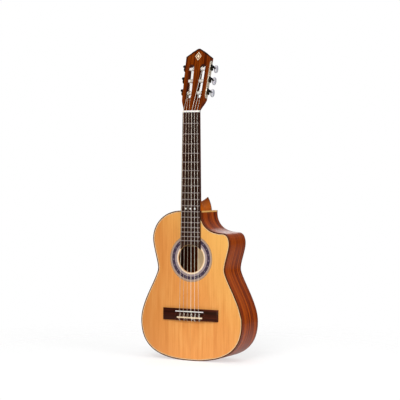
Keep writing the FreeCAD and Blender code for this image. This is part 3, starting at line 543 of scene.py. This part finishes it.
NODE_MATERIALS = {
    "cedar": ["soundboard"],
    "rosette": ["rosette"],
    "rib": ["rib_bass", "rib_treble"],
    "back": ["back_plate"],
    "neck": ["neck"],
    "block": ["neck_block", "tail_block"],
    "head": ["headplate"],
    "rosewood": ["fingerboard", "heel_cap"],
    "bridge": ["bridge"],
    "binding": ["top_binding", "back_binding", "end_graft"],
    "purfling": ["top_purfling"],
    "maple": ["headstock_inlay"],
    "strip": ["cutaway_end_strip"],
    "spruce": ["soundhole_patch", "harmonic_bars", "fan_braces", "bridge_plate", "back_braces",
               "back_centre_strip", "top_lining", "back_lining"],
    "bone": ["nut", "saddle", "fingerboard_dots"] + ["roller_%d" % n for n in STRING_NUMBERS],
    "cream": ["tie_block_inlay"],
    "pearl": ["button_%d" % n for n in STRING_NUMBERS],
    "fret": ["frets"],
    "plate": ["tuner_plate_bass", "tuner_plate_treble"],
    "screw": ["tuner_screws"],
    "gear": ["gear_%d" % n for n in STRING_NUMBERS],
    "worm": ["worm_%d" % n for n in STRING_NUMBERS],
    "nylon": ["treble_strings"],
    "wound": ["bass_strings"],
}


def dress(piece, *materials):
    piece.data.materials.clear()
    for material in materials:
        piece.data.materials.append(material)


for key, members in NODE_MATERIALS.items():
    for member in members:
        dress(nodes[member], MATERIALS[key])


# ------------------------------------------------------------------ mesh tools

WELD = 0.02 * MM
SHARP = math.radians(28)
SHORTEST = 1.2                     # shortest edge that is rounded, as a multiple of the rounding


def make_piece(name, bm, body, materials, smooth_angle=35):
    """Object from a bmesh, shaded smooth up to an angle and riding on a body."""
    bmesh.ops.recalc_face_normals(bm, faces=bm.faces)
    mesh = bpy.data.meshes.new(name)
    bm.to_mesh(mesh)
    bm.free()
    if "custom_normal" in mesh.attributes:
        mesh.attributes.remove(mesh.attributes["custom_normal"])
    mesh.shade_smooth()
    mesh.set_sharp_from_angle(angle=math.radians(smooth_angle))
    piece = bpy.data.objects.new(name, mesh)
    bpy.context.scene.collection.objects.link(piece)
    dress(piece, *materials)
    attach(piece, body)
    return piece


def node_bmesh(name):
    """A CAD node's mesh with its split corners joined."""
    bm = bmesh.new()
    bm.from_mesh(nodes[name].data)
    bmesh.ops.remove_doubles(bm, verts=bm.verts, dist=WELD)
    return bm


def stand_in(name, bm, ending):
    """Piece that stands for a CAD node and keeps its body and material."""
    materials = list(nodes[name].data.materials)
    piece = make_piece(name + ending, bm, BODY_OF[name], materials)
    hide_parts(name)
    return piece


def ease(name, width, chosen=None, segments=2):
    """Copy of a CAD node with its sharp edges rounded by width, in millimetres."""
    bm = node_bmesh(name)
    edges = [edge for edge in bm.edges if len(edge.link_faces) == 2]
    edges = [edge for edge in edges if edge.calc_face_angle() > SHARP]
    edges = [edge for edge in edges if edge.calc_length() > SHORTEST * width * MM]
    if chosen:
        edges = [edge for edge in edges if chosen(edge)]
    bmesh.ops.bevel(bm, geom=edges, offset=width * MM, offset_type="OFFSET", segments=segments,
                    profile=0.5, affect="EDGES", clamp_overlap=True)
    bmesh.ops.remove_doubles(bm, verts=bm.verts, dist=WELD / 4)
    bmesh.ops.dissolve_degenerate(bm, edges=bm.edges, dist=WELD / 8)
    return stand_in(name, bm, "_eased")


def tube(bm, points, radius, sides=10):
    """Round closed tube along a line of points, narrower at its two ends."""
    count, end_size = len(points), 0.55
    side = (points[1] - points[0]).orthogonal().normalized()
    rings = []
    for i, point in enumerate(points):
        ahead = (points[min(i + 1, count - 1)] - points[max(i - 1, 0)]).normalized()
        side = (side - ahead * side.dot(ahead)).normalized()
        other = ahead.cross(side)
        size = radius * (end_size if i in (0, count - 1) else 1.0)
        ring = []
        for k in range(sides):
            turn = 2 * math.pi * k / sides
            ring.append(bm.verts.new(point + (side * math.cos(turn) + other * math.sin(turn)) * size))
        rings.append(ring)
    for low, high in zip(rings, rings[1:]):
        for k in range(sides):
            bm.faces.new((low[k], low[(k + 1) % sides], high[(k + 1) % sides], high[k]))
    bm.faces.new(reversed(rings[0]))
    bm.faces.new(rings[-1])


def curve_through(points, steps=6):
    """Smooth line through the points (Catmull-Rom)."""
    padded = [points[0] * 2 - points[1]] + points + [points[-1] * 2 - points[-2]]
    line = []
    for a, b, c, d in zip(padded, padded[1:], padded[2:], padded[3:]):
        for step in range(steps):
            t = step / steps
            line.append(0.5 * (2 * b + (c - a) * t + (2 * a - 5 * b + 4 * c - d) * t * t
                               + (3 * b - a - 3 * c + d) * t ** 3))
    return line + [points[-1]]


# ------------------------------------------------------------------ eased CAD pieces

soundboard_shape = BVHTree.FromObject(nodes["soundboard"], bpy.context.evaluated_depsgraph_get())
binding_shape = BVHTree.FromObject(nodes["top_binding"], bpy.context.evaluated_depsgraph_get())


def outer_rim(edge):
    """True for a binding's edge on the outside of the body, not against the plate."""
    reach = 4 * MM
    walls = [face for face in edge.link_faces if abs(face.normal.y) < 0.5]
    if len(walls) != 1:
        return False
    middle = (edge.verts[0].co + edge.verts[1].co) / 2
    probe = middle + walls[0].normal * reach
    hit = soundboard_shape.ray_cast(Vector((probe.x, -1, probe.z)), Vector((0, 1, 0)))
    return hit[0] is None


def front_edge(edge):
    """True for edges on the front of a piece that is fixed to the soundboard."""
    return all(vertex.co.y < FACE_Y - 1.0 * MM for vertex in edge.verts)


def ease_all():
    """Rounds the edges that show; widths are in millimetres."""
    ease("bridge", 0.5, front_edge)
    ease("saddle", 0.2, front_edge)
    ease("nut", 0.35, front_edge)
    ease("tie_block_inlay", 0.12, front_edge)
    ease("fingerboard", 0.35, front_edge)
    ease("top_binding", 0.8, outer_rim, segments=3)
    ease("back_binding", 0.8, outer_rim, segments=3)
    ease("heel_cap", 0.4)
    ease("headplate", 0.3)
    for node in ("tuner_plate_treble", "tuner_plate_bass"):
        ease(node, 0.2)
    for number in STRING_NUMBERS:
        ease("roller_%d" % number, 0.35)
        ease("gear_%d" % number, 0.12)


def purfling():
    """The rings beside the binding, coloured by their distance from it."""
    bm = bmesh.new()
    bm.from_mesh(nodes["top_purfling"].data)
    away = bm.verts.layers.float.new("from_binding")
    for vertex in bm.verts:
        vertex[away] = binding_shape.find_nearest(vertex.co)[3] / MM
    stand_in("top_purfling", bm, "_rings")


# ------------------------------------------------------------------ new pieces

def eased(share):
    """Smooth step from 0 to 1."""
    return share * share * (3 - 2 * share)


def label():
    """Blank paper label glued over the back's centre strip, under the sound hole."""
    columns, rows, thickness = 24, 30, 0.2 * MM
    strip_half, slope_width, drop = 9 * MM, 8 * MM, 1.4 * MM
    glue, edge_lift = 0.25 * MM, 0.5 * MM
    bm = bmesh.new()
    grid = []
    for j in range(rows + 1):
        line = []
        for i in range(columns + 1):
            x = LABEL_HALF_WIDTH * (2 * i / columns - 1)
            z = HOLE.z + LABEL_HALF_HEIGHT * (2 * j / rows - 1)
            beside = min(max((abs(x) - strip_half) / slope_width, 0), 1)
            curl = edge_lift * (abs(x) / LABEL_HALF_WIDTH) ** 6
            y = INNER_BACK_Y - glue + drop * eased(beside) - curl
            line.append(bm.verts.new((x, y, z)))
        grid.append(line)
    for low, high in zip(grid, grid[1:]):
        for i in range(columns):
            bm.faces.new((low[i], low[i + 1], high[i + 1], high[i]))
    bmesh.ops.solidify(bm, geom=bm.faces, thickness=thickness)
    make_piece("paper_label", bm, BODY, [MATERIALS["paper"]])


def string_x(number):
    """Where a string crosses the bridge, from the centre line."""
    return STRING_SPREAD / 2 - (number - 1) * STRING_SPREAD / 5


def knot_path(number):
    """A string's end: out of the tie block's lower side, over the block, round itself and back.

    Points are millimetres across from the string's line, out from the soundboard and up from the
    bridge's lower edge.
    """
    block_top = 8.45
    r = STRING_RADII[number]
    top, lift = block_top + r, 2 * r
    hole = [(0, 4.2, 3.0), (0, 4.2, -0.3)]
    rise = [(0.3, 5.2, -1.1), (0.8, 7.3, -0.9), (1.0, top, 0.8), (1.2, top, 6.5), (1.4, top, 11.0),
            (1.7, top - 0.3, 14.1)]
    loop = [(1.7, 7.4, 17.1), (1.2, 6.7, 18.9), (0, 6.2, 19.6), (-1.2, 6.7, 18.9), (-1.6, 7.9, 16.9)]
    tail = [(-1.4, top + 0.2, 13.9), (-0.4, top + lift * 0.6, 11.3), (1.3, top + lift, 8.5),
            (3.0, top + 0.3, 5.9), (4.4, top + 0.1, 3.1)]
    turn = 1 if number % 2 else -1
    return [Vector((string_x(number) + turn * x * MM, FACE_Y - out * MM, BRIDGE_BOTTOM + up * MM))
            for x, out, up in hole + rise + loop + tail]


def knots(name, numbers, kind):
    """Tied ends of several strings as one piece; kind is nylon or wound."""
    bm = bmesh.new()
    for number in numbers:
        tube(bm, curve_through(knot_path(number)), STRING_RADII[number] * MM)
    make_piece(name, bm, BODY, [MATERIALS[kind]])


TURNS_IN_ROW = (3, 3, 1)           # turns on the rollers, from the nut upwards


def coil(number):
    """A string's turns round its roller beside its straight part, then on to the roller's hole."""
    joint = JOINTS["post_turn_%d" % number]
    outward = Vector(joint["axis"])
    up = (HEAD_UP - outward * HEAD_UP.dot(outward)).normalized()
    front = (HEAD_FRONT - outward * HEAD_FRONT.dot(outward)).normalized()
    centre = Vector(joint["pos_m"]) - outward * POST_JOINT_X * MM
    r = STRING_RADII[number]
    row = min(number, 7 - number) - 1
    beside_string, pitch = 2.6 * r, -2.15 * r
    start_x = FIRST_COIL_X + COIL_STEP * row - beside_string
    turns, step = TURNS_IN_ROW[row], 20
    first_clear, clear_until = 0.2, 60
    path = []
    for degrees in range(0, 360 * turns + 1, step):
        clear = first_clear * max(0, 1 - degrees / clear_until)
        path.append((start_x + pitch * degrees / 360, ROLLER_RADIUS + r + clear, degrees))
    last_x, across = path[-1][0], 270
    for degrees in range(step, across + 1, step):
        share = degrees / across
        x = last_x + (ROLLER_HOLE_X - last_x) * eased(share)
        path.append((x, ROLLER_RADIUS + r, 360 * turns + degrees))
    points = []
    for x, radius, degrees in path:
        angle = math.radians(degrees)
        spoke = front * math.cos(angle) + up * math.sin(angle)
        points.append(centre + (outward * x + spoke * radius) * MM)
    end = math.radians(360 * turns + across)
    radial = front * math.cos(end) + up * math.sin(end)
    far_side, tail = ROLLER_RADIUS + 1, 3
    for radius in (ROLLER_RADIUS * 0.6, 0, -far_side, -far_side - tail):
        points.append(centre + (outward * ROLLER_HOLE_X + radial * radius) * MM)
    bm = bmesh.new()
    tube(bm, points, r * MM)
    kind = "nylon" if number in TREBLES else "wound"
    make_piece("string_coil_%d" % number, bm, BODY_OF["roller_%d" % number],
               [MATERIALS[kind]])


ease_all()
purfling()
label()
knots("treble_knots", TREBLES, "nylon")
knots("bass_knots", BASSES, "wound")
for number in STRING_NUMBERS:
    coil(number)


# ------------------------------------------------------------------ stage, light and camera

def floor():
    """Pale paper floor that fades out into the white background."""
    width, fade_start, fade_end = 6, 0.2, 1.0
    bpy.ops.mesh.primitive_plane_add(size=width, location=(0, 0, cad_box[0].z))
    plane = bpy.context.object
    plane.name = "floor"
    g = Graph("floor_paper")
    place = g.place()
    speckle = g.noise(place, 3, 3.0)
    g.finish(g.mix(speckle, (0.88, 0.88, 0.88), (0.92, 0.92, 0.92)), 0.8, Specular_IOR_Level=0.1,
             Emission_Color=(1, 1, 1, 1), Emission_Strength=0.3)
    distance = g.node("VectorMath", {0: place}, operation="LENGTH").outputs["Value"]
    g.feed(g.shader.inputs["Alpha"], g.remap(distance, fade_start, fade_end, 0.6, 0.0))
    dress(plane, g.material)


def soft_light(name, place, target, size, power):
    """Rectangular lamp at a place, aimed at a target; power is in watts."""
    data = bpy.data.lights.new(name, "AREA")
    data.shape = "RECTANGLE"
    data.size, data.size_y = size
    data.energy = power
    lamp = bpy.data.objects.new(name, data)
    bpy.context.scene.collection.objects.link(lamp)
    lamp.location = place
    lamp.rotation_euler = (Vector(target) - Vector(place)).to_track_quat("-Z", "Y").to_euler()


# Height of a direction, from -1 straight down to 1 straight up, and the light from there
SKY = [(-1.0, 0.42), (-0.30, 0.42), (-0.04, 0.10), (0.1, 0.10), (0.5, 0.35), (0.9, 0.6)]


def surroundings():
    """White behind the guitar; as light, a dim room with a pale floor and a bright ceiling."""
    world = bpy.data.worlds.new("studio")
    bpy.context.scene.world = world
    world.use_nodes = True
    tree = world.node_tree
    sky = tree.nodes["Background"]
    place = tree.nodes.new("ShaderNodeTexCoord")
    split = tree.nodes.new("ShaderNodeSeparateXYZ")
    height = tree.nodes.new("ShaderNodeMapRange")
    height.inputs["From Min"].default_value = -1.0
    glow = tree.nodes.new("ShaderNodeValToRGB")
    while len(glow.color_ramp.elements) < len(SKY):
        glow.color_ramp.elements.new(0.5)
    for element, (up, strength) in zip(glow.color_ramp.elements, SKY):
        element.position = (up + 1) / 2
        element.color = (strength, strength, strength, 1)
    ray = tree.nodes.new("ShaderNodeLightPath")
    seen = tree.nodes.new("ShaderNodeMix")
    seen.inputs["B"].default_value = 1.0
    tree.links.new(place.outputs["Generated"], split.inputs[0])
    tree.links.new(split.outputs["Z"], height.inputs["Value"])
    tree.links.new(height.outputs[0], glow.inputs[0])
    tree.links.new(ray.outputs["Is Camera Ray"], seen.inputs["Factor"])
    tree.links.new(glow.outputs["Color"], seen.inputs["A"])
    tree.links.new(seen.outputs["Result"], sky.inputs["Strength"])
    sky.inputs["Color"].default_value = (1, 1, 1, 1)


def studio():
    surroundings()
    middle = (0, 0, 0.43)
    soft_light("key", (0.55, -2.5, 1.9), middle, (1.5, 1.5), 43)
    soft_light("front", (0.75, -2.6, 0.45), (0, 0, 0.28), (0.7, 0.7), 12)
    soft_light("side", (2.8, -1.0, 1.0), middle, (1.2, 1.8), 34)
    soft_light("backdrop", (-1.2, 2.6, 1.15), middle, (1.4, 1.0), 9)


def camera():
    """Long lens, nearly level, from the treble side at 27 degrees to the soundboard."""
    azimuth, distance, roll = math.radians(27), 3.756, math.radians(0.25)
    aim = Vector((0.0306, FACE_Y - 0.008, 0.511))
    picture_rise, drop = 0.0175, 0.050
    data = bpy.data.cameras.new("camera")
    data.sensor_width = 36
    data.lens = 123.84
    data.shift_y = -picture_rise - drop / distance * data.lens / data.sensor_width
    made = bpy.data.objects.new("camera", data)
    bpy.context.scene.collection.objects.link(made)
    back = Vector((math.sin(azimuth), -math.cos(azimuth), 0))
    made.location = aim + back * distance
    level = Euler((math.radians(90), 0, azimuth)).to_quaternion()
    made.rotation_euler = (Quaternion(back, roll) @ level).to_euler()
    bpy.context.scene.camera = made


floor()
studio()
camera()
bpy.context.scene.view_settings.view_transform = "Standard"
